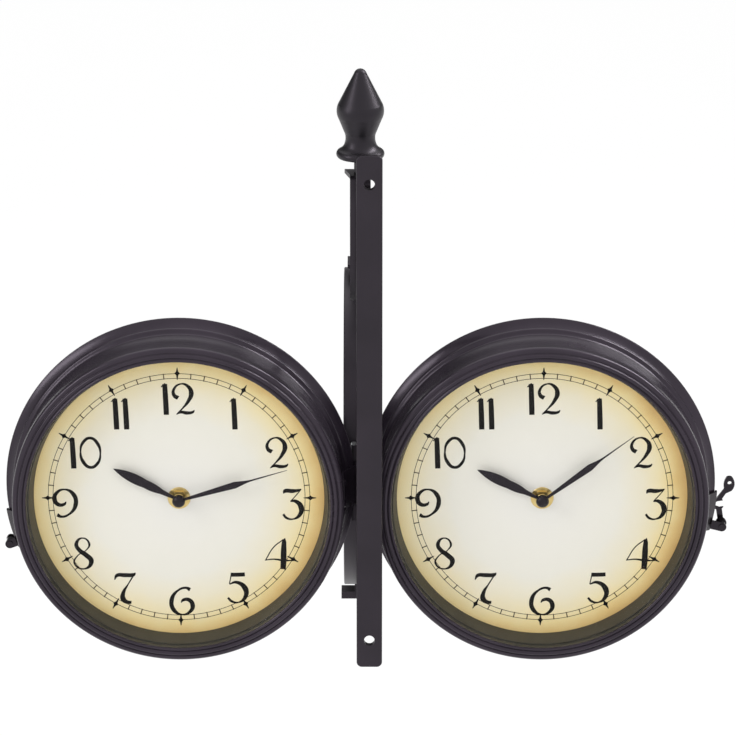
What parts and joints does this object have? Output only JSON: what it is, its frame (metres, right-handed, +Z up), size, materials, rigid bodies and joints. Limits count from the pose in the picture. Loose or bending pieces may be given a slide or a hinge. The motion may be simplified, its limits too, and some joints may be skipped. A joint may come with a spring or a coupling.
{
  "type": "double sided station clock",
  "caption": "Round wall clock with two dials whose half cases swing open on a bracket with a finial",
  "frame": {"origin": "midway between the two screw holes of the wall bar, on its wall face", "axes": "+Y away from the wall, +Z up, +X to the right for someone who looks along +Y; both halves stand open with their dials toward -Y"},
  "size_m": [0.5499, 0.319, 0.4724],
  "materials": {
    "wall_bar": "satin black",
    "bar_rivets": "satin black",
    "scroll_strap": "satin black",
    "lower_stay": "satin black",
    "finial": "satin black",
    "finial_screw": "zinc plated",
    "centre_ring": "satin black",
    "ring_lugs": "satin black",
    "lug_screws": "zinc plated",
    "hinge_saddle": "satin black",
    "hinge_rivets": "satin black",
    "hinge_pins": "zinc plated",
    "left_case_shell": "satin black",
    "left_bezel": "satin black",
    "left_glass": "clear",
    "left_dial": "printed cream",
    "left_dial_posts": "plain",
    "left_dial_screws": "zinc plated",
    "left_hinge_leaf": "satin black",
    "left_leaf_rivets": "satin black",
    "left_movement_case": "black",
    "left_battery": "wrapped cell",
    "left_battery_contacts": "nickel plated",
    "left_stem": "plain",
    "left_washer": "plain",
    "left_hex_nut": "plain",
    "keeper_plate": "satin black",
    "keeper_post": "satin black",
    "keeper_rivets": "satin black",
    "left_minute_arbor": "plain",
    "left_minute_hand": "black",
    "left_cap_nut": "black",
    "left_hour_pipe": "plain",
    "left_hour_hand": "black",
    "left_setting_knob": "white",
    "right_case_shell": "satin black",
    "right_bezel": "satin black",
    "right_glass": "clear",
    "right_dial": "printed cream",
    "right_dial_posts": "plain",
    "right_dial_screws": "zinc plated",
    "right_hinge_leaf": "satin black",
    "right_leaf_rivets": "satin black",
    "right_movement_case": "black",
    "right_battery": "wrapped cell",
    "right_battery_contacts": "nickel plated",
    "right_stem": "plain",
    "right_washer": "plain",
    "right_hex_nut": "plain",
    "latch_plate": "satin black",
    "latch_post": "satin black",
    "latch_rivets": "satin black",
    "right_minute_arbor": "plain",
    "right_minute_hand": "black",
    "right_cap_nut": "black",
    "right_hour_pipe": "plain",
    "right_hour_hand": "black",
    "right_setting_knob": "white",
    "latch_hook": "darkened steel"
  },
  "bodies": {
    "bracket": {"wall_bar": "wall_bar", "bar_rivets": "bar_rivets", "scroll_strap": "scroll_strap", "lower_stay": "lower_stay", "finial": "finial", "finial_screw": "finial_screw", "centre_ring": "centre_ring", "ring_lugs": "ring_lugs", "lug_screws": "lug_screws", "hinge_saddle": "hinge_saddle", "hinge_rivets": "hinge_rivets", "hinge_pins": "hinge_pins"},
    "left_case": {"left_case_shell": "left_case_shell", "left_bezel": "left_bezel", "left_glass": "left_glass", "left_dial": "left_dial", "left_dial_posts": "left_dial_posts", "left_dial_screws": "left_dial_screws", "left_hinge_leaf": "left_hinge_leaf", "left_leaf_rivets": "left_leaf_rivets", "left_movement_case": "left_movement_case", "left_battery": "left_battery", "left_battery_contacts": "left_battery_contacts", "left_stem": "left_stem", "left_washer": "left_washer", "left_hex_nut": "left_hex_nut", "keeper_plate": "keeper_plate", "keeper_post": "keeper_post", "keeper_rivets": "keeper_rivets"},
    "left_minute": {"left_minute_arbor": "left_minute_arbor", "left_minute_hand": "left_minute_hand", "left_cap_nut": "left_cap_nut"},
    "left_hour": {"left_hour_pipe": "left_hour_pipe", "left_hour_hand": "left_hour_hand"},
    "left_knob": {"left_setting_knob": "left_setting_knob"},
    "right_case": {"right_case_shell": "right_case_shell", "right_bezel": "right_bezel", "right_glass": "right_glass", "right_dial": "right_dial", "right_dial_posts": "right_dial_posts", "right_dial_screws": "right_dial_screws", "right_hinge_leaf": "right_hinge_leaf", "right_leaf_rivets": "right_leaf_rivets", "right_movement_case": "right_movement_case", "right_battery": "right_battery", "right_battery_contacts": "right_battery_contacts", "right_stem": "right_stem", "right_washer": "right_washer", "right_hex_nut": "right_hex_nut", "latch_plate": "latch_plate", "latch_post": "latch_post", "latch_rivets": "latch_rivets"},
    "right_minute": {"right_minute_arbor": "right_minute_arbor", "right_minute_hand": "right_minute_hand", "right_cap_nut": "right_cap_nut"},
    "right_hour": {"right_hour_pipe": "right_hour_pipe", "right_hour_hand": "right_hour_hand"},
    "right_knob": {"right_setting_knob": "right_setting_knob"},
    "catch": {"latch_hook": "latch_hook"}
  },
  "joints": [
    {"name": "left_half_swing", "type": "hinge", "parent": "bracket", "child": "left_case", "pos_m": [-0.0115, 0.065, -0.074], "axis": [0, 0, 1], "range_deg": [-90, 0]},
    {"name": "left_minute_turn", "type": "hinge", "parent": "left_case", "child": "left_minute", "pos_m": [-0.1415, 0.062, -0.074], "axis": [0, 1, 0], "continuous": true},
    {"name": "left_hour_turn", "type": "hinge", "parent": "left_case", "child": "left_hour", "pos_m": [-0.1415, 0.062, -0.074], "axis": [0, 1, 0], "continuous": true},
    {"name": "left_knob_turn", "type": "hinge", "parent": "left_case", "child": "left_knob", "pos_m": [-0.1415, 0.062, -0.061], "axis": [0, 1, 0], "continuous": true},
    {"name": "right_half_swing", "type": "hinge", "parent": "bracket", "child": "right_case", "pos_m": [-0.0015, 0.065, -0.074], "axis": [0, 0, 1], "range_deg": [0, 90]},
    {"name": "right_minute_turn", "type": "hinge", "parent": "right_case", "child": "right_minute", "pos_m": [0.1285, 0.062, -0.074], "axis": [0, 1, 0], "continuous": true},
    {"name": "right_hour_turn", "type": "hinge", "parent": "right_case", "child": "right_hour", "pos_m": [0.1285, 0.062, -0.074], "axis": [0, 1, 0], "continuous": true},
    {"name": "right_knob_turn", "type": "hinge", "parent": "right_case", "child": "right_knob", "pos_m": [0.1285, 0.062, -0.061], "axis": [0, 1, 0], "continuous": true},
    {"name": "catch_swing", "type": "hinge", "parent": "right_case", "child": "catch", "pos_m": [0.2657, 0.07, -0.1084], "axis": [0, 1, 0], "range_deg": [0, 205]}
  ],
  "couplings": [
    {"joint": "left_hour_turn", "follows": "left_minute_turn", "ratio": 0.083333},
    {"joint": "left_knob_turn", "follows": "left_minute_turn", "ratio": -3},
    {"joint": "right_hour_turn", "follows": "right_minute_turn", "ratio": 0.083333},
    {"joint": "right_knob_turn", "follows": "right_minute_turn", "ratio": -3}
  ]
}
